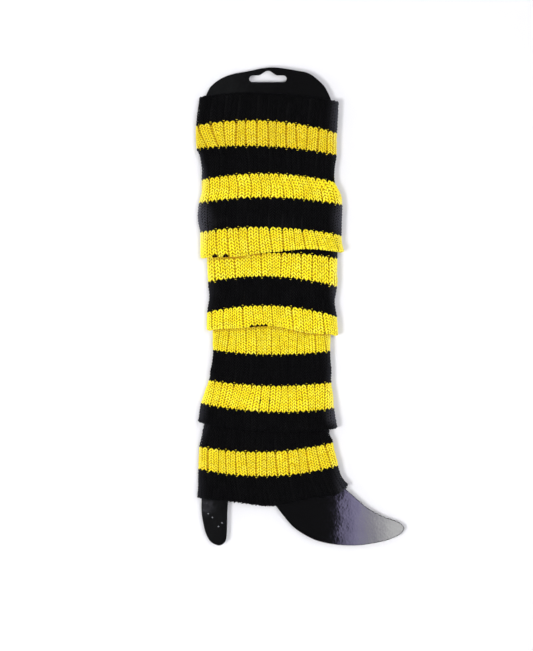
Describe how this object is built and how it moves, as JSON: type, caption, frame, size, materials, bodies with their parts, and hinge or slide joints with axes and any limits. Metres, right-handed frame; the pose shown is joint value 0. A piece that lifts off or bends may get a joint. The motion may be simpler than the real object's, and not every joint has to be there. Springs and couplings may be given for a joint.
{
  "type": "leg warmer on a leg-shaped display card",
  "caption": "Rib-knitted, striped leg warmer pushed up into folds on a flat, glossy display card cut to the outline of a leg in a heeled shoe.",
  "frame": {"origin": "on the surface it lies on, under the middle of the whole", "axes": "+X across the leg towards the toe, +Y up the leg towards the mouth and the hang slot, +Z out of the front, away from the surface it lies on"},
  "size_m": [0.1764, 0.4064, 0.0156],
  "materials": {
    "laminated_board": "black board with a gloss laminated film",
    "rib_knit": "soft acrylic rib knit in yellow and black stripes"
  },
  "bodies": {
    "root": {"display_card": "laminated_board", "tier_1": "rib_knit", "tier_2": "rib_knit", "tier_3": "rib_knit", "tier_4": "rib_knit"}
  },
  "joints": []
}
